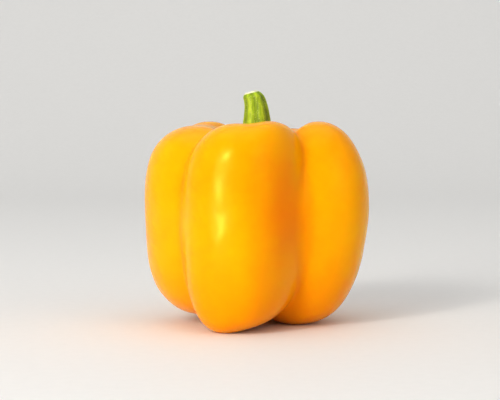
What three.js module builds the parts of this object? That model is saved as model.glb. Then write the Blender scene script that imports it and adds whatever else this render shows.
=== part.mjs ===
// A yellow bell pepper, standing on its blossom end: one solid fruit of swollen lobes,
// and the green stem with its calyx, which sits in the hollow between the shoulders.
// Millimetres, +Z up. The origin is under the middle of the fruit, on the surface it stands on.

import * as THREE from 'three';

// Where the fruit's growth axis stands, measured from the middle of its bounding box.
const AXIS_X = 0.08;
const AXIS_Y = 0.3;

// The fruit is grown outwards from this height on its axis.
const HEART_HEIGHT = 34;
const FARTHEST_SKIN = 75;
const FRUIT_DETAIL = 18;
const HALVINGS = 30;

// Creases between lobes are soft at mid height and sharp towards both ends.
const CREASE_MIDDLE = 42;
const CREASE_SOFT = 4.6;
const CREASE_SHARP = 20;
const CREASE_REACH = 40;

// The stem hollow is a round dish: its floor's height, and the radius it curves with.
const HOLLOW_FLOOR = 66.5;
const HOLLOW_RADIUS = 14;
const HOLLOW_STEEPNESS = 8;
const HOLLOW_RIM = 6;

// The stem's heights, and the gap that keeps its calyx clear of the skin.
const STEM_BASE = 73;
const STEM_TOP = 89.6;
const SEAT_GAP = 0.3;
const STEM_SIDES = 48;

// The calyx is a thin six-pointed star, which sweeps up into the stalk.
const CALYX_RIM = 9.3;
const SEPAL_LENGTH = 3.2;
const SEPAL_NARROWNESS = 2.5;
const CALYX_THICKNESS = 0.7;
const CALYX_SWEEP = 2.4;

// The stalk narrows from its foot and flares a little again towards its cut end. It leans to the
// left there, and the cut is tilted. A short rounded shoulder draws its last stretch in.
const STALK_FOOT = 5.9;
const STALK_TAPER = 3.1;
const STALK_FLARE = 0.85;
const STEM_LEAN = 2.4;
const LEAN_BEND = 5;
const CUT_TILT = THREE.MathUtils.degToRad(17);
const TILT_BEND = 8;
const SHOULDER = 0.85;
const SHOULDER_DRAW = 0.64;

// Ribs run up the stalk, one from each sepal. They stand out by a share of its radius.
const RIBS = 6;
const RIB_TURN = THREE.MathUtils.degToRad(-126);
const RIB_WANDER = 0.4;
const RIB_SWELL = 0.04;
const RIB_RELIEF = 0.08;

// A lobe is a swollen column. Seen from above it is centred on a bearing, in degrees from the
// front (-Y), positive towards +X, at an offset from the axis. It is widest at its waist. A flank
// above 0 folds it back to the right of a ridge on its middle.
const plainLobe = {
  bearing: 0, offset: 19, lean: 0, waist: 40, flank: 0,
  depth: 22, left: 24, right: 24, up: 35, down: 40,
  section: 2, side: 2.3, crown: 2.3, foot: 2.3,
  crownSlope: 0, footSlope: 0, dip: 0,
};
const lobes = [
  // the broad front lobe, with a double shoulder, a ridge down its front and a slanting foot
  {
    bearing: -4, offset: 23.2, lean: -0.02, waist: 38, flank: 0.6, depth: 18.4, left: 25.5, right: 20, up: 41,
    down: 36.4, section: 2.17, side: 2.8, crown: 4, foot: 2.7, crownSlope: 0.06, footSlope: -0.33, dip: 1,
  },
  // the right lobe
  {
    bearing: 84, offset: 18.9, lean: 0.085, depth: 24.2, left: 22, right: 27, up: 38.3, down: 40.4,
    section: 2.25, crown: 2, foot: 2.4,
  },
  // the two back lobes, and the rear shoulder of the left lobe
  { bearing: -172, lean: 0.08, waist: 42, left: 26, right: 26, up: 34, down: 42.5 },
  { bearing: 140, lean: 0.05, waist: 42, depth: 21, left: 22, right: 22, up: 33, down: 40.5 },
  { bearing: -128, offset: 22, lean: 0.05, waist: 44, depth: 18, left: 18, right: 18, up: 34, down: 36 },
  // the left lobe, whose foot stays just off the table
  {
    bearing: -95, lean: 0.03, waist: 38, depth: 24.4, left: 25, right: 26, up: 38.8, down: 35,
    side: 2.6, crown: 3.4, foot: 2.8,
  },
  // the flesh round the axis, which fills in behind the creases at the blossom end
  { offset: 0, depth: 30, left: 30, right: 30, up: 29, down: 33, side: 3, crown: 3, foot: 3 },
].map((lobe) => ({ ...plainLobe, ...lobe }));

// A crown's dip, in millimetres to the left of the lobe's middle, and how softly its sides and
// its ridge run into each other.
const DIP_PLACE = 1;
const DIP_WIDTH = 6;
const SIDE_BLEND = 8;
const RIDGE_ROUND = 4;

// How far out a point lies in one lobe: under 1 inside it, 1 on its skin.
function lobeLevel(lobe, x, y, z) {
  const bearing = THREE.MathUtils.degToRad(lobe.bearing);
  const rise = z - lobe.waist;
  const across = x * Math.cos(bearing) + y * Math.sin(bearing);
  const rightOfRidge = (across + Math.hypot(across, RIDGE_ROUND) - RIDGE_ROUND) / 2;
  const middle = lobe.offset + lobe.lean * rise - lobe.flank * rightOfRidge;
  const out = x * Math.sin(bearing) - y * Math.cos(bearing) - middle;

  const lean = Math.tanh(across / SIDE_BLEND);
  const halfWidth = (lobe.right * (1 + lean) + lobe.left * (1 - lean)) / 2;
  const near = THREE.MathUtils.clamp(across, -halfWidth, halfWidth);
  const dip = lobe.dip * Math.exp(-(((across + DIP_PLACE) / DIP_WIDTH) ** 2));
  const up = lobe.up + lobe.crownSlope * near - dip;
  const down = lobe.down + lobe.footSlope * near;

  const ring = Math.hypot(1e-6, Math.abs(out / lobe.depth) ** (lobe.section / 2),
    Math.abs(across / halfWidth) ** (lobe.section / 2)) ** (2 / lobe.section);
  const end = rise > 0 ? (rise / up) ** lobe.crown : (-rise / down) ** lobe.foot;
  return ring ** lobe.side + end;
}

function hollowHeight(radius) {
  return HOLLOW_FLOOR + radius ** 2 / (2 * HOLLOW_RADIUS);
}

// The lobes grow into one another, and the hollow is pressed into their tops.
function fruitLevel(x, y, z) {
  const sharpness = CREASE_SOFT + CREASE_SHARP * ((z - CREASE_MIDDLE) / CREASE_REACH) ** 2;
  let swell = 0;
  for (const lobe of lobes) {
    swell += Math.max(lobeLevel(lobe, x, y, z), 1e-9) ** -sharpness;
  }
  const body = swell ** (-1 / sharpness);
  const hollow = (Math.max(z, 0) / hollowHeight(Math.hypot(x, y))) ** HOLLOW_STEEPNESS;
  return (body ** HOLLOW_RIM + hollow ** HOLLOW_RIM) ** (1 / HOLLOW_RIM);
}

// Walks out from the heart of the fruit until it meets the skin.
function skinPoint(direction) {
  let inside = 0;
  let outside = FARTHEST_SKIN;
  for (let step = 0; step < HALVINGS; step += 1) {
    const reach = (inside + outside) / 2;
    const level = fruitLevel(direction.x * reach, direction.y * reach, HEART_HEIGHT + direction.z * reach);
    if (level < 1) inside = reach;
    else outside = reach;
  }
  const point = direction.clone().multiplyScalar((inside + outside) / 2);
  point.z = Math.max(point.z + HEART_HEIGHT, 0);
  return point;
}

function makeFruit() {
  const geometry = new THREE.IcosahedronGeometry(1, FRUIT_DETAIL);
  const corners = geometry.getAttribute('position');
  for (let i = 0; i < corners.count; i += 1) {
    const direction = new THREE.Vector3().fromBufferAttribute(corners, i).normalize();
    const point = skinPoint(direction);
    corners.setXYZ(i, point.x, point.y, point.z);
  }
  geometry.computeVertexNormals();
  const skin = new THREE.MeshStandardMaterial({ color: 0xffa800, roughness: 0.3, metalness: 0 });
  const fruit = new THREE.Mesh(geometry, skin);
  fruit.name = 'fruit';
  return fruit;
}

// How far a bearing round the stem lies on a rib: 1 on its ridge, 0 in a furrow.
function ribHeight(angle) {
  return 0.5 + 0.5 * Math.cos(RIBS * (angle - RIB_TURN) + RIB_WANDER * Math.sin(angle));
}

// The calyx's outline. Its sepals aren't quite alike, so two slow waves run round it.
function calyxRim(angle) {
  const sepal = (0.5 + 0.5 * Math.cos(RIBS * (angle - RIB_TURN))) ** SEPAL_NARROWNESS;
  const uneven = 0.5 * Math.sin(2 * angle + 1) + 0.4 * Math.sin(3 * angle);
  return CALYX_RIM + SEPAL_LENGTH * sepal + uneven;
}

// The stalk's radius from its base to its cut end.
function stalkRadius(share, angle) {
  const over = Math.max(0, (share - SHOULDER) / (1 - SHOULDER));
  const drawnIn = Math.sqrt(1 - SHOULDER_DRAW * over ** 2);
  const girth = (STALK_FOOT - STALK_TAPER * share + STALK_FLARE * share ** 2) * drawnIn;
  const rib = ribHeight(angle);
  const relief = RIB_RELIEF * (rib - 0.5) * Math.min(1, 3 * share);
  return girth * (1 + RIB_SWELL * rib + relief);
}

// The closed outline of calyx and stalk, ring by ring: under the calyx from its middle to its rim,
// back over its top, up the stalk and in over the cut end.
function stemRings() {
  const rings = [];
  for (const share of [0.3, 0.6, 0.85, 1]) {
    rings.push((angle) => {
      const radius = calyxRim(angle) * share;
      return [radius * Math.cos(angle), radius * Math.sin(angle), hollowHeight(radius) + SEAT_GAP];
    });
  }
  for (const share of [1, 0.8, 0.55, 0.35, 0.18, 0.05]) {
    rings.push((angle) => {
      const foot = stalkRadius(0, angle);
      const radius = foot + (calyxRim(angle) - foot) * share;
      const lift = (STEM_BASE - hollowHeight(foot) - CALYX_THICKNESS) * (1 - share) ** CALYX_SWEEP;
      const height = hollowHeight(radius) + CALYX_THICKNESS + lift;
      return [radius * Math.cos(angle), radius * Math.sin(angle), height];
    });
  }
  const stalk = (share, inward) => (angle) => {
    const tilt = CUT_TILT * share ** TILT_BEND;
    const radius = stalkRadius(share, angle) * inward;
    const middle = -STEM_LEAN * share ** LEAN_BEND;
    const height = STEM_BASE + (STEM_TOP - STEM_BASE) * share;
    return [
      middle + radius * Math.cos(angle) * Math.cos(tilt), radius * Math.sin(angle),
      height + radius * Math.cos(angle) * Math.sin(tilt),
    ];
  };
  for (const share of [0, 0.15, 0.3, 0.45, 0.6, 0.72, 0.82, 0.9, 0.95, 0.98, 1]) rings.push(stalk(share, 1));
  rings.push(stalk(1, 0.5));
  return rings;
}

function makeStem() {
  const rings = stemRings();
  const corners = [];
  for (const ring of rings) {
    for (let side = 0; side < STEM_SIDES; side += 1) {
      corners.push(...ring((2 * Math.PI * side) / STEM_SIDES));
    }
  }
  const last = rings.length - 1;
  const underside = corners.length / 3;
  corners.push(0, 0, hollowHeight(0) + SEAT_GAP);
  corners.push(-STEM_LEAN, 0, STEM_TOP);
  const cutEnd = underside + 1;

  const faces = [];
  for (let side = 0; side < STEM_SIDES; side += 1) {
    const next = (side + 1) % STEM_SIDES;
    faces.push(underside, next, side);
    for (let ring = 0; ring < last; ring += 1) {
      const a = ring * STEM_SIDES + side;
      const b = ring * STEM_SIDES + next;
      faces.push(a, b, b + STEM_SIDES, a, b + STEM_SIDES, a + STEM_SIDES);
    }
    faces.push(cutEnd, last * STEM_SIDES + side, last * STEM_SIDES + next);
  }
  const geometry = new THREE.BufferGeometry();
  geometry.setAttribute('position', new THREE.Float32BufferAttribute(corners, 3));
  geometry.setIndex(faces);
  geometry.computeVertexNormals();
  const rind = new THREE.MeshStandardMaterial({ color: 0x7fa31c, roughness: 0.55, metalness: 0 });
  const stem = new THREE.Mesh(geometry, rind);
  stem.name = 'stem';
  return stem;
}

const pepper = new THREE.Group();
pepper.position.set(AXIS_X, AXIS_Y, 0);
pepper.add(makeFruit(), makeStem());

export default pepper;
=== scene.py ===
"""A yellow bell pepper, standing on its blossom end on a pale studio floor."""

import math

import bpy
import numpy as np
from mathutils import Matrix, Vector


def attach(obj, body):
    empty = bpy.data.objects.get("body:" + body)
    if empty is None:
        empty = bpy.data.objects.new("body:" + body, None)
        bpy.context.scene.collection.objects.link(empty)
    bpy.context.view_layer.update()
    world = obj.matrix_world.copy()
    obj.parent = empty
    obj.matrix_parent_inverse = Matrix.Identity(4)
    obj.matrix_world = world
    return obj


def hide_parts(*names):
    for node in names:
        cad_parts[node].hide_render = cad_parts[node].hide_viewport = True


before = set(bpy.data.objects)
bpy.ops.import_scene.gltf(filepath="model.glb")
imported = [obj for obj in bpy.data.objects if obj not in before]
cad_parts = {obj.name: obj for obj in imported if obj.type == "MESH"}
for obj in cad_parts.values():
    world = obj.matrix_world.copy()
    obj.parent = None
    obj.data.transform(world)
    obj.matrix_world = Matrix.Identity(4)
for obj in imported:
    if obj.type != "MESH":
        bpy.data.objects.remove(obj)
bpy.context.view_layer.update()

MM = 0.001

# Where the fruit's growth axis stands, measured from the middle of its box, as in the CAD part.
AXIS = (0.08 * MM, 0.3 * MM)


# ---------------------------------------------------------------- small tools

# Sockets that share their name with others, by number: a colour Mix node's three inputs and its
# output, and a float Random Value node's two inputs and its output.
FACTOR, FROM, TO, MIXED = 0, 6, 7, 2
LEAST, MOST, DRAWN = 2, 3, 1


def linear(code):
    """An sRGB hex colour as the linear colour that shaders take."""
    channels = [int(code[i : i + 2], 16) / 255 for i in (1, 3, 5)]
    return [c / 12.92 if c <= 0.04045 else ((c + 0.055) / 1.055) ** 2.4 for c in channels] + [1]


def add(tree, kind, inputs=(), **settings):
    """Adds a node with its settings. Its inputs are values, nodes or sockets, in order or by key."""
    made = tree.nodes.new(kind)
    for name, value in settings.items():
        setattr(made, name, value)
    pairs = inputs.items() if isinstance(inputs, dict) else enumerate(inputs)
    for key, value in pairs:
        if isinstance(value, bpy.types.Node):
            value = value.outputs[0]
        if isinstance(value, bpy.types.NodeSocket):
            tree.links.new(value, made.inputs[key])
        else:
            made.inputs[key].default_value = value
    return made


def open_tree(name, inputs, outputs):
    """A new Geometry Nodes tree with named inputs and outputs, and its two end nodes."""
    tree = bpy.data.node_groups.new(name, "GeometryNodeTree")
    for label, kind, value in inputs:
        socket = tree.interface.new_socket(name=label, in_out="INPUT", socket_type=kind)
        if value is not None:
            socket.default_value = value
    for label, kind in outputs:
        tree.interface.new_socket(name=label, in_out="OUTPUT", socket_type=kind)
    return tree, tree.nodes.new("NodeGroupInput"), tree.nodes.new("NodeGroupOutput")


def run_tree(name, tree, values, start=None):
    """Runs a tree on a mesh, as a modifier, and returns the plain mesh object that it makes."""
    holder = bpy.data.objects.new(name + "_holder", start or bpy.data.meshes.new(name + "_start"))
    bpy.context.scene.collection.objects.link(holder)
    modifier = holder.modifiers.new(name, "NODES")
    modifier.node_group = tree
    for item in tree.interface.items_tree:
        if item.item_type == "SOCKET" and item.in_out == "INPUT" and item.name in values:
            modifier[item.identifier] = values[item.name]
    evaluated = holder.evaluated_get(bpy.context.evaluated_depsgraph_get())
    mesh = bpy.data.meshes.new_from_object(evaluated, preserve_all_data_layers=True,
                                           depsgraph=bpy.context.evaluated_depsgraph_get())
    bpy.data.objects.remove(holder)
    piece = bpy.data.objects.new(name, mesh)
    mesh.name = name
    bpy.context.scene.collection.objects.link(piece)
    return piece


# ---------------------------------------------------------------- camera
# It stands in front of the fruit, at the height of the stem's cut end, and looks slightly down.

CAMERA_DISTANCE = 0.6
CAMERA_HEIGHT = 89.7 * MM
CAMERA_ASIDE = 2.7 * MM
LOOK_DOWN = math.radians(4)

camera_data = bpy.data.cameras.new("camera")
camera_data.lens = 111.5
camera_data.sensor_width = 36
camera = bpy.data.objects.new("camera", camera_data)
camera.location = (AXIS[0] - CAMERA_ASIDE, AXIS[1] - CAMERA_DISTANCE, CAMERA_HEIGHT)
camera.rotation_euler = (0.5 * math.pi - LOOK_DOWN, 0, 0)
bpy.context.scene.collection.objects.link(camera)
bpy.context.scene.camera = camera


# ---------------------------------------------------------------- the fruit's lobes
# Millimetres and degrees, the same lobes as the CAD part. A lobe is a swollen column on a bearing
# from the front, positive towards +X, at an offset from the axis, and widest at its waist.

PLAIN_LOBE = {
    "Bearing": 0, "Offset": 19, "Lean": 0, "Waist": 40, "Flank": 0,
    "Depth": 22, "Left": 24, "Right": 24, "Up": 35, "Down": 40,
    "Section": 2, "Side": 2.3, "Crown": 2.3, "Foot": 2.3,
    "Crown slope": 0, "Foot slope": 0, "Dip": 0,
}
LOBES = {
    "front": {
        "Bearing": -4, "Offset": 23.2, "Lean": -0.02, "Waist": 38, "Flank": 0.6,
        "Depth": 18.4, "Left": 25.5, "Right": 20, "Up": 41, "Down": 36.4,
        "Section": 2.17, "Side": 2.8, "Crown": 4, "Foot": 2.7,
        "Crown slope": 0.06, "Foot slope": -0.33, "Dip": 1,
    },
    "right": {
        "Bearing": 84, "Offset": 18.9, "Lean": 0.085, "Depth": 24.2, "Left": 22, "Right": 27,
        "Up": 38.3, "Down": 40.4, "Section": 2.25, "Crown": 2, "Foot": 2.4,
    },
    "back": {"Bearing": -172, "Lean": 0.08, "Waist": 42, "Left": 26, "Right": 26, "Up": 34, "Down": 42.5},
    "back right": {
        "Bearing": 140, "Lean": 0.05, "Waist": 42, "Depth": 21, "Left": 22, "Right": 22,
        "Up": 33, "Down": 40.5,
    },
    "rear shoulder": {
        "Bearing": -128, "Offset": 22, "Lean": 0.05, "Waist": 44, "Depth": 18, "Left": 18, "Right": 18,
        "Up": 34, "Down": 36,
    },
    "left": {
        "Bearing": -95, "Lean": 0.03, "Waist": 38, "Depth": 24.4, "Left": 25, "Right": 26,
        "Up": 38.8, "Down": 35, "Side": 2.6, "Crown": 3.4, "Foot": 2.8,
    },
    "core": {
        "Offset": 0, "Depth": 30, "Left": 30, "Right": 30, "Up": 29, "Down": 33,
        "Side": 3, "Crown": 3, "Foot": 3,
    },
}

# The stem hollow is a round dish: its floor's height, and the radius it curves with.
HOLLOW_FLOOR = 66.5
HOLLOW_RADIUS = 14

# How softly a lobe's sides and its ridge run into each other.
SIDE_BLEND = 8
RIDGE_ROUND = 4

# The dip in a crown: how far it lies to the left of the lobe's middle, and its width.
DIP_PLACE = 1
DIP_WIDTH = 6

# A lobe's level is never less than this: in its heart it would be 0, which has no negative powers.
LEAST_LEVEL = 0.05

# Lobes share a valley's painted shade with this power, which reaches wider than the crease itself.
VALLEY_POWER = -3


def hollow_height(radius):
    """Height of the stem hollow's floor at a distance from the axis, in millimetres."""
    return HOLLOW_FLOOR + radius**2 / (2 * HOLLOW_RADIUS)


def lobe_tree():
    """How far out a point lies in one lobe: under 1 inside it, 1 on its skin."""
    sizes = [(name, "NodeSocketFloat", value) for name, value in PLAIN_LOBE.items()]
    tree, given, result = open_tree(
        "lobe", [("Place", "NodeSocketVector", None)] + sizes, [("Level", "NodeSocketFloat")])
    size = given.outputs
    turn = add(tree, "ShaderNodeMath", [size["Bearing"]], operation="RADIANS")
    back = add(tree, "ShaderNodeMath", [turn, -1], operation="MULTIPLY")
    turned = add(tree, "ShaderNodeVectorRotate", {"Vector": size["Place"], "Angle": back},
                 rotation_type="Z_AXIS")
    place = add(tree, "ShaderNodeSeparateXYZ", [turned]).outputs
    rise = add(tree, "ShaderNodeMath", [place["Z"], size["Waist"]], operation="SUBTRACT")
    middle = add(tree, "ShaderNodeMath", [size["Lean"], rise, size["Offset"]], operation="MULTIPLY_ADD")
    across = place["X"]

    # a flank slants back on the right of a ridge, which is rounded over a few millimetres
    square = add(tree, "ShaderNodeMath", [across, across, RIDGE_ROUND**2], operation="MULTIPLY_ADD")
    bow = add(tree, "ShaderNodeMath", [square], operation="SQRT")
    right_of_ridge = add(tree, "ShaderNodeMath", [across, bow], operation="ADD")
    run = add(tree, "ShaderNodeMath", [right_of_ridge, RIDGE_ROUND], operation="SUBTRACT")
    slant = add(tree, "ShaderNodeMath", [run, size["Flank"]], operation="MULTIPLY")
    straight = add(tree, "ShaderNodeMath", [place["Y"], middle], operation="ADD")
    out = add(tree, "ShaderNodeMath", [slant, -0.5, straight], operation="MULTIPLY_ADD")

    # a lobe may be wider on one side than on the other
    share = add(tree, "ShaderNodeMath", [across, SIDE_BLEND], operation="DIVIDE")
    bend = add(tree, "ShaderNodeMath", [share], operation="TANH")
    half = add(tree, "ShaderNodeMapRange", {
        "Value": bend, "From Min": -1, "From Max": 1, "To Min": size["Left"], "To Max": size["Right"]})
    least = add(tree, "ShaderNodeMath", [half, -1], operation="MULTIPLY")
    near = add(tree, "ShaderNodeClamp", {"Value": across, "Min": least, "Max": half})

    # a crown may slope and have a dip in it, and a foot may slope
    shifted = add(tree, "ShaderNodeMath", [across, DIP_PLACE], operation="ADD")
    scaled = add(tree, "ShaderNodeMath", [shifted, DIP_WIDTH], operation="DIVIDE")
    square = add(tree, "ShaderNodeMath", [scaled, 2], operation="POWER")
    fall = add(tree, "ShaderNodeMath", [square, -1], operation="MULTIPLY")
    bell = add(tree, "ShaderNodeMath", [fall], operation="EXPONENT")
    dip = add(tree, "ShaderNodeMath", [bell, size["Dip"]], operation="MULTIPLY")
    sloped = add(tree, "ShaderNodeMath", [size["Crown slope"], near, size["Up"]], operation="MULTIPLY_ADD")
    up = add(tree, "ShaderNodeMath", [sloped, dip], operation="SUBTRACT")
    down = add(tree, "ShaderNodeMath", [size["Foot slope"], near, size["Down"]], operation="MULTIPLY_ADD")

    # the level round the lobe's column
    ring = None
    for distance, reach in ((out, size["Depth"]), (across, half)):
        part = add(tree, "ShaderNodeMath", [distance, reach], operation="DIVIDE")
        size_only = add(tree, "ShaderNodeMath", [part], operation="ABSOLUTE")
        term = add(tree, "ShaderNodeMath", [size_only, size["Section"]], operation="POWER")
        ring = term if ring is None else add(tree, "ShaderNodeMath", [ring, term], operation="ADD")
    strength = add(tree, "ShaderNodeMath", [size["Side"], size["Section"]], operation="DIVIDE")
    column = add(tree, "ShaderNodeMath", [ring, strength], operation="POWER")

    # the level towards its crown or its foot
    above = add(tree, "FunctionNodeCompare", [rise, 0], data_type="FLOAT", operation="GREATER_THAN")
    span = add(tree, "GeometryNodeSwitch", [above, down, up], input_type="FLOAT")
    power = add(tree, "GeometryNodeSwitch", [above, size["Foot"], size["Crown"]], input_type="FLOAT")
    height = add(tree, "ShaderNodeMath", [rise], operation="ABSOLUTE")
    ratio = add(tree, "ShaderNodeMath", [height, span], operation="DIVIDE")
    end = add(tree, "ShaderNodeMath", [ratio, power], operation="POWER")
    level = add(tree, "ShaderNodeMath", [column, end], operation="ADD")
    floor = add(tree, "ShaderNodeMath", [level, LEAST_LEVEL], operation="MAXIMUM")
    tree.links.new(floor.outputs[0], result.inputs["Level"])
    return tree


def fruit_level_tree(one_lobe):
    """The lobes grown into one another, with the stem hollow pressed into their tops."""
    tree, given, result = open_tree("fruit level", [
        ("Place", "NodeSocketVector", None),
        ("Crease softness", "NodeSocketFloat", 4.6),
        ("Crease sharpening", "NodeSocketFloat", 20),
        ("Crease middle", "NodeSocketFloat", 42),
        ("Crease reach", "NodeSocketFloat", 40),
        ("Hollow floor", "NodeSocketFloat", HOLLOW_FLOOR),
        ("Hollow radius", "NodeSocketFloat", HOLLOW_RADIUS),
        ("Hollow steepness", "NodeSocketFloat", 8),
        ("Hollow rim", "NodeSocketFloat", 6),
    ], [("Level", "NodeSocketFloat"), ("Crease", "NodeSocketFloat"), ("Valley", "NodeSocketFloat")])
    size = given.outputs
    place = add(tree, "ShaderNodeSeparateXYZ", [size["Place"]]).outputs

    # creases are soft at mid height and sharp at both ends
    from_middle = add(tree, "ShaderNodeMath", [place["Z"], size["Crease middle"]], operation="SUBTRACT")
    share = add(tree, "ShaderNodeMath", [from_middle, size["Crease reach"]], operation="DIVIDE")
    square = add(tree, "ShaderNodeMath", [share, share], operation="MULTIPLY")
    sharpness = add(tree, "ShaderNodeMath", [square, size["Crease sharpening"], size["Crease softness"]],
                    operation="MULTIPLY_ADD")
    inverse = add(tree, "ShaderNodeMath", [sharpness, -1], operation="MULTIPLY")

    swell, broad = None, None
    for name, shape in LOBES.items():
        lobe = add(tree, "GeometryNodeGroup", node_tree=one_lobe, label=name)
        tree.links.new(size["Place"], lobe.inputs["Place"])
        for key, value in {**PLAIN_LOBE, **shape}.items():
            lobe.inputs[key].default_value = value
        term = add(tree, "ShaderNodeMath", [lobe, inverse], operation="POWER")
        wide = add(tree, "ShaderNodeMath", [lobe, VALLEY_POWER], operation="POWER")
        if swell is None:
            swell, strongest = term, term
            broad, broadest = wide, wide
        else:
            swell = add(tree, "ShaderNodeMath", [swell, term], operation="ADD")
            strongest = add(tree, "ShaderNodeMath", [strongest, term], operation="MAXIMUM")
            broad = add(tree, "ShaderNodeMath", [broad, wide], operation="ADD")
            broadest = add(tree, "ShaderNodeMath", [broadest, wide], operation="MAXIMUM")
    root = add(tree, "ShaderNodeMath", [1, inverse], operation="DIVIDE")
    body = add(tree, "ShaderNodeMath", [swell, root], operation="POWER")

    # the hollow is a round dish
    flat = add(tree, "ShaderNodeCombineXYZ", [place["X"], place["Y"], 0])
    radius = add(tree, "ShaderNodeVectorMath", [flat], operation="LENGTH").outputs["Value"]
    radius_square = add(tree, "ShaderNodeMath", [radius, 2], operation="POWER")
    width = add(tree, "ShaderNodeMath", [size["Hollow radius"], 2], operation="MULTIPLY")
    bowl = add(tree, "ShaderNodeMath", [radius_square, width], operation="DIVIDE")
    dish = add(tree, "ShaderNodeMath", [bowl, size["Hollow floor"]], operation="ADD")
    height = add(tree, "ShaderNodeMath", [place["Z"], 0], operation="MAXIMUM")
    ratio = add(tree, "ShaderNodeMath", [height, dish], operation="DIVIDE")
    hollow = add(tree, "ShaderNodeMath", [ratio, size["Hollow steepness"]], operation="POWER")

    both = None
    for part in (body, hollow):
        term = add(tree, "ShaderNodeMath", [part, size["Hollow rim"]], operation="POWER")
        both = term if both is None else add(tree, "ShaderNodeMath", [both, term], operation="ADD")
    inverse_rim = add(tree, "ShaderNodeMath", [1, size["Hollow rim"]], operation="DIVIDE")
    level = add(tree, "ShaderNodeMath", [both, inverse_rim], operation="POWER")
    tree.links.new(level.outputs[0], result.inputs["Level"])

    # a crease is where no single lobe holds the skin, and a valley is the wide slope on both sides; the skin
    # is painted deeper orange in both as painted shade
    for label, most, whole in (("Crease", strongest, swell), ("Valley", broadest, broad)):
        held = add(tree, "ShaderNodeMath", [most, whole], operation="DIVIDE")
        shared = add(tree, "ShaderNodeMath", [1, held], operation="SUBTRACT")
        tree.links.new(shared.outputs[0], result.inputs[label])
    return tree


def fruit_tree(level_tree):
    """Walks out from the heart of the fruit, in halving steps, until it meets the skin."""
    tree, given, result = open_tree("fruit", [
        ("Heart height", "NodeSocketFloat", 34),
        ("Reach", "NodeSocketFloat", 40),
        ("Fineness", "NodeSocketInt", 120),
        ("Halvings", "NodeSocketInt", 22),
        ("Wave height", "NodeSocketFloat", 1.4),
        ("Wave length", "NodeSocketFloat", 22),
        ("Axis", "NodeSocketVector", None),
        ("Skin", "NodeSocketMaterial", None),
    ], [("Geometry", "NodeSocketGeometry")])
    size = given.outputs
    box = add(tree, "GeometryNodeMeshCube", {
        "Size": (2, 2, 2), "Vertices X": size["Fineness"], "Vertices Y": size["Fineness"],
        "Vertices Z": size["Fineness"]})
    corner = tree.nodes.new("GeometryNodeInputPosition")
    # tan spreads the cube's squares evenly over the ball
    eighth = add(tree, "ShaderNodeVectorMath", [corner, (math.pi / 4,) * 3], operation="MULTIPLY")
    spread = add(tree, "ShaderNodeVectorMath", [eighth], operation="TANGENT")
    outward = add(tree, "ShaderNodeVectorMath", [spread], operation="NORMALIZE")
    ball = add(tree, "GeometryNodeSetPosition", {"Geometry": box, "Position": outward})

    direction = tree.nodes.new("GeometryNodeInputPosition")
    started = add(tree, "GeometryNodeStoreNamedAttribute", {
        "Geometry": ball, "Name": "reach", "Value": size["Reach"]}, data_type="FLOAT")
    loop_in = tree.nodes.new("GeometryNodeRepeatInput")
    loop_out = tree.nodes.new("GeometryNodeRepeatOutput")
    loop_in.pair_with_output(loop_out)
    loop_out.repeat_items.new("FLOAT", "Step")
    tree.links.new(size["Halvings"], loop_in.inputs["Iterations"])
    tree.links.new(started.outputs[0], loop_in.inputs["Geometry"])
    half = add(tree, "ShaderNodeMath", [size["Reach"], 0.5], operation="MULTIPLY")
    tree.links.new(half.outputs[0], loop_in.inputs["Step"])

    heart = add(tree, "ShaderNodeCombineXYZ", [0, 0, size["Heart height"]])
    reach = add(tree, "GeometryNodeInputNamedAttribute", {"Name": "reach"}, data_type="FLOAT")
    place = add(tree, "ShaderNodeVectorMath", [direction, reach, heart], operation="MULTIPLY_ADD")
    level = add(tree, "GeometryNodeGroup", node_tree=level_tree)
    tree.links.new(place.outputs[0], level.inputs["Place"])
    room = add(tree, "ShaderNodeMath", [1, level.outputs["Level"]], operation="SUBTRACT")
    way = add(tree, "ShaderNodeMath", [room], operation="SIGN")
    moved = add(tree, "ShaderNodeMath", [way, loop_in.outputs["Step"], reach], operation="MULTIPLY_ADD")
    stepped = add(tree, "GeometryNodeStoreNamedAttribute", {
        "Geometry": loop_in.outputs["Geometry"], "Name": "reach", "Value": moved}, data_type="FLOAT")
    tree.links.new(stepped.outputs[0], loop_out.inputs["Geometry"])
    smaller = add(tree, "ShaderNodeMath", [loop_in.outputs["Step"], 0.5], operation="MULTIPLY")
    tree.links.new(smaller.outputs[0], loop_out.inputs["Step"])

    # the skin isn't quite even, but has long, low waves, and nothing sinks below the table
    found = loop_out.outputs["Geometry"]
    # the crease and valley measures are kept for the skin, which paints shade into them
    for label in ("Crease", "Valley"):
        found = add(tree, "GeometryNodeStoreNamedAttribute", {
            "Geometry": found, "Name": label.lower(), "Value": level.outputs[label]}, data_type="FLOAT")
    rate = add(tree, "ShaderNodeMath", [1, size["Wave length"]], operation="DIVIDE")
    wave = add(tree, "ShaderNodeTexNoise", {"Vector": place, "Scale": rate, "Detail": 1.5})
    level_wave = add(tree, "ShaderNodeMath", [wave, 0.5], operation="SUBTRACT")
    lift = add(tree, "ShaderNodeMath", [level_wave, size["Wave height"]], operation="MULTIPLY")
    waved = add(tree, "ShaderNodeVectorMath", [direction, lift, place], operation="MULTIPLY_ADD")
    grounded = add(tree, "ShaderNodeVectorMath", [waved, (-1000, -1000, 0)], operation="MAXIMUM")
    in_metres = add(tree, "ShaderNodeVectorMath", [grounded, (MM, MM, MM), size["Axis"]],
                    operation="MULTIPLY_ADD")
    skin = add(tree, "GeometryNodeSetPosition", {"Geometry": found, "Position": in_metres})
    smooth = add(tree, "GeometryNodeSetShadeSmooth", [skin])
    real = add(tree, "GeometryNodeRealizeInstances", [smooth])
    dressed = add(tree, "GeometryNodeSetMaterial", {"Geometry": real, "Material": size["Skin"]})
    tree.links.new(dressed.outputs[0], result.inputs[0])
    return tree


# ---------------------------------------------------------------- materials


def open_material(name):
    """A new material with its shader, ready for its pattern nodes."""
    material = bpy.data.materials.new(name)
    material.use_nodes = True
    tree = material.node_tree
    shader = tree.nodes["Principled BSDF"]
    return material, tree, shader
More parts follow.
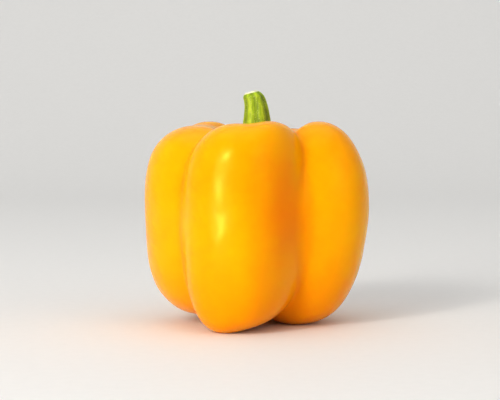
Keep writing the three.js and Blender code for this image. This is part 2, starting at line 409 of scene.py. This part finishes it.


# The egg-shaped stretch of the front lobe's right flank that is painted deep orange as painted shade, in
# millimetres.
PAINTED_SHADE_CENTRE = (9, -31, 46)
PAINTED_SHADE_HALF_SIZE = (13, 16, 34)


def pepper_skin():
    """Ripe sweet pepper skin: smooth, stretched cells under natural wax, over thick wet flesh.

    The flesh glows through the skin. Its colour is painted deeper orange as painted shade where lobes
    meet, on the front lobe's right flank and towards the bottom, in place of shade and light bounced
    between the lobes. Wax over such a deep colour gives soft, yellowish reflections, which waver with
    the flesh below.
    """
    material, tree, shader = open_material("pepper_skin")
    here = add(tree, "ShaderNodeTexCoord").outputs["Object"]

    # ripening isn't even: broad patches some 30 mm across, and mottling of 5 mm inside them
    patches = add(tree, "ShaderNodeTexNoise", {"Vector": here, "Scale": 1 / (30 * MM), "Detail": 2})
    mottle = add(tree, "ShaderNodeTexNoise", {"Vector": here, "Scale": 1 / (5 * MM), "Detail": 3})
    ripe = add(tree, "ShaderNodeMapRange", {"Value": patches, "From Min": 0.35, "From Max": 0.65})
    base = add(tree, "ShaderNodeMix", {FACTOR: ripe, FROM: linear("#FFAD00"), TO: linear("#FFA300")},
               data_type="RGBA")
    fine = add(tree, "ShaderNodeMapRange", {
        "Value": mottle, "From Min": 0.35, "From Max": 0.7, "To Min": 0, "To Max": 0.12})
    mottled = add(tree, "ShaderNodeMix", {
        FACTOR: fine, FROM: base.outputs[MIXED], TO: linear("#FFB900")}, data_type="RGBA")

    # painted shade: the lowest 30 mm are painted deeper orange, for the shade under the fruit
    height = add(tree, "ShaderNodeSeparateXYZ", [here]).outputs["Z"]
    low = add(tree, "ShaderNodeMapRange", {
        "Value": height, "From Min": 30 * MM, "From Max": 0, "To Min": 0, "To Max": 0.45},
        interpolation_type="SMOOTHSTEP")
    colour = add(tree, "ShaderNodeMix", {
        FACTOR: low, FROM: mottled.outputs[MIXED], TO: linear("#F28600")}, data_type="RGBA").outputs[MIXED]

    # painted shade: the front lobe's right flank, turned away from the key light, is painted deep orange
    apart = add(tree, "ShaderNodeMapping", {
        "Vector": here, "Location": [-c / h for c, h in zip(PAINTED_SHADE_CENTRE, PAINTED_SHADE_HALF_SIZE)],
        "Scale": [1 / (h * MM) for h in PAINTED_SHADE_HALF_SIZE]})
    distance = add(tree, "ShaderNodeVectorMath", [apart], operation="LENGTH").outputs["Value"]
    painted_shade = add(tree, "ShaderNodeMapRange", {
        "Value": distance, "From Min": 1, "From Max": 0, "To Min": 0, "To Max": 0.6},
        interpolation_type="SMOOTHERSTEP")
    colour = add(tree, "ShaderNodeMix", {FACTOR: painted_shade, FROM: colour, TO: linear("#FA7800")},
                 data_type="RGBA").outputs[MIXED]
    # painted shade: valleys and creases are painted deeper orange, in place of the shade and bounced light
    # between lobes
    for label, least, most, strength, tone in (
        ("valley", 0.3, 0.6, 0.08, "#FA7800"),
        ("crease", 0.15, 0.5, 0.2, "#E06800"),
    ):
        amount = add(tree, "ShaderNodeAttribute", attribute_name=label).outputs["Fac"]
        share = add(tree, "ShaderNodeMapRange", {
            "Value": amount, "From Min": least, "From Max": most, "To Min": 0, "To Max": strength},
            interpolation_type="SMOOTHSTEP")
        colour = add(tree, "ShaderNodeMix", {FACTOR: share, FROM: colour, TO: linear(tone)},
                     data_type="RGBA").outputs[MIXED]
    tree.links.new(colour, shader.inputs["Base Color"])

    gloss = add(tree, "ShaderNodeMapRange", {
        "Value": mottle, "From Min": 0.3, "From Max": 0.7, "To Min": 0.2, "To Max": 0.26})
    tree.links.new(gloss.outputs[0], shader.inputs["Roughness"])
    shader.inputs["IOR"].default_value = 1.43
    shader.inputs["Specular Tint"].default_value = linear("#FFE870")
    shader.inputs["Subsurface Weight"].default_value = 0.85
    shader.inputs["Subsurface Radius"].default_value = (1, 0.5, 0.03)
    shader.inputs["Subsurface Scale"].default_value = 6 * MM

    # the flesh's cells push up dimples 7 mm apart, and the skin's own cells are drawn at 0.5 mm,
    # ten times their real size, so that they show at all
    dimples = add(tree, "ShaderNodeTexNoise", {"Vector": here, "Scale": 1 / (7 * MM), "Detail": 1})
    low_relief = add(tree, "ShaderNodeBump", {"Height": dimples, "Strength": 0.4, "Distance": 0.35 * MM})
    cells = add(tree, "ShaderNodeTexVoronoi", {"Vector": here, "Scale": 1 / (0.5 * MM)}, feature="SMOOTH_F1")
    high_relief = add(tree, "ShaderNodeBump", {
        "Height": cells, "Strength": 0.08, "Distance": 0.02 * MM, "Normal": low_relief})
    tree.links.new(high_relief.outputs[0], shader.inputs["Normal"])
    return material


def pepper_stem():
    """Green pepper stem and calyx: a tough ribbed rind, dull next to the fruit, with corky flecks.

    Ridges are painted yellowish as painted highlight, furrows stay dark green as painted shade, and the cut
    end has dried pale.
    """
    material, tree, shader = open_material("pepper_stem")
    here = add(tree, "ShaderNodeTexCoord").outputs["Object"]
    ridge = add(tree, "ShaderNodeAttribute", attribute_name="ridge").outputs["Fac"]
    cut = add(tree, "ShaderNodeAttribute", attribute_name="cut").outputs["Fac"]

    # fibres run along the stem: 0.6 mm apart across it, and eight times as long
    stretched = add(tree, "ShaderNodeMapping", {"Vector": here, "Scale": (1, 1, 0.12)})
    fibres = add(tree, "ShaderNodeTexNoise", {"Vector": stretched, "Scale": 1 / (0.6 * MM), "Detail": 3})
    blotch = add(tree, "ShaderNodeTexNoise", {"Vector": here, "Scale": 1 / (3 * MM), "Detail": 2})
    # painted highlight: ridges are painted lighter, so furrows stay darker as painted shade
    painted_ridge_light = add(tree, "ShaderNodeMath", [ridge, 0.25], operation="MULTIPLY")
    streaked = add(tree, "ShaderNodeMath", [fibres, 0.7, painted_ridge_light], operation="MULTIPLY_ADD")
    tone = add(tree, "ShaderNodeMath", [blotch, 0.5, streaked], operation="MULTIPLY_ADD")
    green = add(tree, "ShaderNodeValToRGB", [tone])
    stops = green.color_ramp.elements
    stops[0].position, stops[0].color = 0.35, linear("#56680A")
    stops[1].position, stops[1].color = 1, linear("#B6CA26")
    middle = stops.new(0.7)
    middle.color = linear("#8CA312")
    pale = add(tree, "ShaderNodeMix", {FACTOR: cut, FROM: green.outputs[0], TO: linear("#E6E3BE")},
               data_type="RGBA")
    tree.links.new(pale.outputs[MIXED], shader.inputs["Base Color"])

    dull = add(tree, "ShaderNodeMapRange", {
        "Value": fibres, "From Min": 0.3, "From Max": 0.7, "To Min": 0.42, "To Max": 0.6})
    tree.links.new(dull.outputs[0], shader.inputs["Roughness"])
    shader.inputs["IOR"].default_value = 1.42
    shader.inputs["Subsurface Weight"].default_value = 0.15
    shader.inputs["Subsurface Radius"].default_value = (0.6, 1, 0.2)
    shader.inputs["Subsurface Scale"].default_value = 1 * MM
    grain = add(tree, "ShaderNodeBump", {"Height": fibres, "Strength": 0.6, "Distance": 0.15 * MM})
    tree.links.new(grain.outputs[0], shader.inputs["Normal"])
    return material


def corky_fleck():
    """Lenticels, the stem's corky breathing pores: dry, pale and matt, with a fine crumb."""
    material, tree, shader = open_material("corky_fleck")
    here = add(tree, "ShaderNodeTexCoord").outputs["Object"]
    crumb = add(tree, "ShaderNodeTexNoise", {"Vector": here, "Scale": 1 / (0.3 * MM), "Detail": 2})
    colour = add(tree, "ShaderNodeMix", {FACTOR: crumb, FROM: linear("#B7C24A"), TO: linear("#DDE08C")},
                 data_type="RGBA")
    tree.links.new(colour.outputs[MIXED], shader.inputs["Base Color"])
    shader.inputs["Roughness"].default_value = 0.7
    return material


def studio_floor():
    """Matt painted board: pale and even, with a faint roller stipple about 4 mm across."""
    material, tree, shader = open_material("painted_board")
    here = add(tree, "ShaderNodeTexCoord").outputs["Object"]
    stipple = add(tree, "ShaderNodeTexNoise", {"Vector": here, "Scale": 1 / (4 * MM), "Detail": 2})
    colour = add(tree, "ShaderNodeMix", {FACTOR: stipple, FROM: linear("#E6E5E3"), TO: linear("#EAE9E7")},
                 data_type="RGBA")
    tree.links.new(colour.outputs[MIXED], shader.inputs["Base Color"])
    shader.inputs["Roughness"].default_value = 0.7
    return material


# ---------------------------------------------------------------- the fruit

skin = pepper_skin()
fruit = run_tree("pepper_fruit", fruit_tree(fruit_level_tree(lobe_tree())), {
    "Axis": (*AXIS, 0), "Skin": skin, "Fineness": 120})
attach(fruit, "root")
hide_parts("fruit")


# ---------------------------------------------------------------- the stem and its calyx
# Millimetres. One skin, ring after ring: under the calyx, round its rim, in over its top,
# up the stalk and in over the cut end.

STEM_BASE = 73
STEM_TOP = 89.6
SIDES = 180

# The calyx is a thin six-pointed star with a rounded edge, which sweeps up into the stalk.
CALYX_RIM = 9.3
SEPAL_LENGTH = 3.2
SEPAL_NARROWNESS = 2.5
CALYX_THICKNESS = 0.7
CALYX_SWEEP = 2.4
CALYX_SINK = 0.5
EDGE_RADIUS = 0.45
EDGE_HALF_HEIGHT = 0.55
EDGE_HEIGHT = 0.15
VEIN_HEIGHT = 0.45
VEIN_FULLNESS = 0.7

# The stalk narrows from its foot, and a slight flare makes it narrow less towards its cut end. It
# leans to the left there, and the cut is tilted. A short rounded shoulder draws its last stretch in.
STALK_FOOT = 5.9
STALK_TAPER = 3.1
STALK_FLARE = 0.85
STEM_LEAN = 2.4
LEAN_BEND = 5
CUT_TILT = math.radians(17)
TILT_BEND = 8
SHOULDER = 0.85
SHOULDER_DRAW = 0.64
DRIED_FROM = 0.98
PITH_RISE = 0.15
PITH_DEPTH = 0.6
PITH_STEEPNESS = 2.2

# Ribs run up the stalk, one from each sepal. They stand out by a share of its radius, and their
# relief sets in over the foot of the stalk.
RIBS = 6
RIB_TURN = math.radians(-126)
RIB_WANDER = 0.4
RIB_SWELL = 0.04
RIB_RELIEF = 0.08
RIB_ONSET = 3
FOOT_SWELL = 0.05

# How many rings of points each stretch of the skin has.
UNDER_RINGS = 8
EDGE_RINGS = 9
TOP_RINGS = 32
STALK_RINGS = 70
CUT_RINGS = 16


def stalk_radius(share):
    """The stalk's radius from its base to its cut end, where it rounds in over a short shoulder."""
    over = max(0, (share - SHOULDER) / (1 - SHOULDER))
    girth = STALK_FOOT - STALK_TAPER * share + STALK_FLARE * share**2
    return girth * math.sqrt(1 - SHOULDER_DRAW * over**2)


def stem_skin():
    """The stem's rings of points, with how far each is on a ridge and on the cut end."""
    angle = np.linspace(0, 2 * math.pi, SIDES, endpoint=False)
    phase = RIBS * (angle - RIB_TURN)
    ridge = 0.5 + 0.5 * np.cos(phase + RIB_WANDER * np.sin(angle))
    sepal = (0.5 + 0.5 * np.cos(phase)) ** SEPAL_NARROWNESS

    # the sepals aren't quite alike, so two slow waves run round the rim
    uneven = 0.5 * np.sin(2 * angle + 1) + 0.4 * np.sin(3 * angle)
    rim = CALYX_RIM + SEPAL_LENGTH * sepal + uneven
    rings, ridges, cuts = [], [], []

    def keep(radius, height, ridged, cut, shift=0, tilt=0):
        """One ring: tilted to the left by an angle about its middle, which is moved by shift."""
        x = radius * np.cos(angle)
        y = radius * np.sin(angle)
        rings.append(np.stack([
            shift + x * math.cos(tilt), y, height + x * math.sin(tilt)], axis=1))
        ridges.append(ridged * np.ones(SIDES))
        cuts.append(cut * np.ones(SIDES))

    # each ring's ridge value sets how much its colour is painted lighter, as painted highlight
    # the calyx's underside, which is sunk a little into the skin, its edge, and its veined top
    for share in np.linspace(0.1, 0.97, UNDER_RINGS):
        radius = rim * share
        keep(radius, hollow_height(radius) - CALYX_SINK, 0.2, 0)
    for turn in np.linspace(-0.5 * math.pi, 0.5 * math.pi, EDGE_RINGS):
        radius = rim - EDGE_RADIUS + EDGE_RADIUS * math.cos(turn)
        keep(radius, hollow_height(radius) + EDGE_HEIGHT + EDGE_HALF_HEIGHT * math.sin(turn), 0.75, 0)
    foot = stalk_radius(0) * (1 + FOOT_SWELL * ridge)
    for share in np.linspace(0.96, 0.03, TOP_RINGS):
        radius = foot + (rim - EDGE_RADIUS - foot) * share
        lift = (STEM_BASE - hollow_height(foot) - CALYX_THICKNESS) * (1 - share) ** CALYX_SWEEP
        vein = VEIN_HEIGHT * (ridge - 0.5) * math.sin(math.pi * share) ** VEIN_FULLNESS
        keep(radius, hollow_height(radius) + CALYX_THICKNESS + lift + vein, 0.15 + 0.65 * ridge, 0)

    # the stalk, and the cut end, whose pith has shrunk below its rim
    rise = STEM_TOP - STEM_BASE
    for share in np.linspace(0, 1, STALK_RINGS):
        tilt = CUT_TILT * share**TILT_BEND
        relief = RIB_RELIEF * (ridge - 0.5) * min(1, RIB_ONSET * share)
        radius = stalk_radius(share) * (1 + RIB_SWELL * ridge + relief)
        dried = 1 if share > DRIED_FROM else 0
        keep(radius, STEM_BASE + rise * share, ridge, dried, -STEM_LEAN * share**LEAN_BEND, tilt)
    edge = radius
    for share, sink in zip(np.linspace(0.97, 0.04, CUT_RINGS), np.linspace(0, 1, CUT_RINGS)):
        dish = PITH_RISE - PITH_DEPTH * math.sin(min(1, PITH_STEEPNESS * sink) * 0.5 * math.pi) ** 2
        shift = -STEM_LEAN - dish * math.sin(tilt)
        keep(edge * share, STEM_TOP + dish * math.cos(tilt), 0.5, 1, shift, tilt)
    return np.array(rings), np.array(ridges), np.array(cuts)


def ring_mesh(name, rings, values):
    """A closed mesh from rings of points, with a point in the middle of its first and last ring."""
    count, sides = rings.shape[:2]
    ends = [rings[0].mean(axis=0), rings[-1].mean(axis=0)]
    points = np.concatenate([rings.reshape(-1, 3), ends]) * MM + (*AXIS, 0)
    faces = []
    for side in range(sides):
        after = (side + 1) % sides
        faces.append((count * sides, after, side))
        for ring in range(count - 1):
            first, second = ring * sides, (ring + 1) * sides
            faces.append((first + side, first + after, second + after, second + side))
        faces.append((count * sides + 1, (count - 1) * sides + side, (count - 1) * sides + after))
    mesh = bpy.data.meshes.new(name)
    mesh.from_pydata(points.tolist(), [], faces)
    for label, rows in values.items():
        flat = np.append(rows.ravel(), [rows[0].mean(), rows[-1].mean()])
        mesh.attributes.new(label, "FLOAT", "POINT").data.foreach_set("value", flat.astype(np.float32))
    mesh.shade_smooth()
    piece = bpy.data.objects.new(name, mesh)
    bpy.context.scene.collection.objects.link(piece)
    return piece


stem_rings, stem_ridges, stem_cuts = stem_skin()
stem = ring_mesh("pepper_stem", stem_rings, {"ridge": stem_ridges, "cut": stem_cuts})
stem.data.materials.append(pepper_stem())
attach(stem, "root")
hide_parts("stem")


def fleck_tree():
    """Scatters small flattened flecks over the stalk, so many to the square metre."""
    tree, given, result = open_tree("flecks", [
        ("Stem", "NodeSocketGeometry", None),
        ("Flecks", "NodeSocketFloat", 1.1e6),
        ("Fleck radius", "NodeSocketFloat", 0.13 * MM),
        ("Lowest", "NodeSocketFloat", (STEM_BASE - 1) * MM),
        ("Highest", "NodeSocketFloat", (STEM_TOP - 1.5) * MM),
        ("Material", "NodeSocketMaterial", None),
    ], [("Geometry", "NodeSocketGeometry")])
    size = given.outputs
    place = tree.nodes.new("GeometryNodeInputPosition")
    height = add(tree, "ShaderNodeSeparateXYZ", [place]).outputs["Z"]
    high = add(tree, "FunctionNodeCompare", [height, size["Lowest"]], data_type="FLOAT",
               operation="GREATER_THAN")
    low = add(tree, "FunctionNodeCompare", [height, size["Highest"]], data_type="FLOAT",
              operation="LESS_THAN")
    stalk = add(tree, "FunctionNodeBooleanMath", [high, low], operation="AND")
    spots = add(tree, "GeometryNodeDistributePointsOnFaces", {
        "Mesh": size["Stem"], "Selection": stalk, "Density": size["Flecks"], "Seed": 7})
    fleck = add(tree, "GeometryNodeMeshIcoSphere", {"Radius": size["Fleck radius"], "Subdivisions": 1})
    length = add(tree, "FunctionNodeRandomValue", {LEAST: 0.6, MOST: 1.5, "Seed": 3}, data_type="FLOAT")
    scale = add(tree, "ShaderNodeCombineXYZ", [0.8, length.outputs[DRAWN], 0.35])
    put = add(tree, "GeometryNodeInstanceOnPoints", {
        "Points": spots, "Instance": fleck, "Rotation": spots.outputs["Rotation"], "Scale": scale})
    real = add(tree, "GeometryNodeRealizeInstances", [put])
    smooth = add(tree, "GeometryNodeSetShadeSmooth", [real])
    dressed = add(tree, "GeometryNodeSetMaterial", {"Geometry": smooth, "Material": size["Material"]})
    tree.links.new(dressed.outputs[0], result.inputs[0])
    return tree


flecks = run_tree("stem_flecks", fleck_tree(), {"Material": corky_fleck()}, stem.data)
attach(flecks, "root")


# ---------------------------------------------------------------- the studio


def sweep(name, width, front, back, top, bend):
    """A floor that curves up into a backdrop, in metres."""
    turns = np.linspace(0, 0.5 * math.pi, 24)
    line = [(front, 0)] + [(back - bend + bend * math.sin(t), bend - bend * math.cos(t)) for t in turns]
    line.append((back, top))
    points = [(side * width / 2, y, z) for y, z in line for side in (-1, 1)]
    faces = [(2 * i, 2 * i + 1, 2 * i + 3, 2 * i + 2) for i in range(len(line) - 1)]
    mesh = bpy.data.meshes.new(name)
    mesh.from_pydata(points, [], faces)
    mesh.shade_smooth()
    backdrop = bpy.data.objects.new(name, mesh)
    bpy.context.scene.collection.objects.link(backdrop)
    return backdrop


floor = sweep("studio_floor", width=12, front=-6, back=1.6, top=3, bend=0.9)
floor.data.materials.append(studio_floor())


def soft_box(name, place, target, width, height, power, colour):
    """A rectangular soft light that faces a point, in metres and watts."""
    data = bpy.data.lights.new(name, "AREA")
    data.shape = "RECTANGLE"
    data.size = width
    data.size_y = height
    data.energy = power
    data.color = linear(colour)[:3]
    lamp = bpy.data.objects.new(name, data)
    lamp.location = place
    lamp.rotation_euler = (Vector(target) - Vector(place)).to_track_quat("-Z", "Y").to_euler()
    bpy.context.scene.collection.objects.link(lamp)


# A broad key light and two small ones before it give the skin one wide band with two bright
# spots. A weak fill lifts the right side, and a large light overhead keeps the shadows soft.
middle = (0, 0, 45 * MM)
soft_box("key", (-0.72, -0.93, 0.5), middle, 0.6, 1.0, 6.2, "#FFFBF5")
soft_box("upper glint", (-0.7, -0.91, 0.7), middle, 0.16, 0.26, 3.6, "#FFFBF5")
soft_box("lower glint", (-0.7, -0.91, 0.1), middle, 0.16, 0.26, 2.8, "#FFFBF5")
soft_box("fill", (1.1, -0.9, 0.7), middle, 0.9, 0.9, 1.9, "#FFF6EA")
soft_box("top", (0, 0, 2.2), (0, 0, 0), 2.4, 2.4, 9.6, "#FFFFFF")

world = bpy.data.worlds.new("studio")
world.use_nodes = True
world.node_tree.nodes["Background"].inputs["Color"].default_value = linear("#F4F6F8")
world.node_tree.nodes["Background"].inputs["Strength"].default_value = 0.48
bpy.context.scene.world = world
bpy.context.scene.view_settings.view_transform = "Standard"
bpy.context.scene.view_settings.look = "Medium High Contrast"
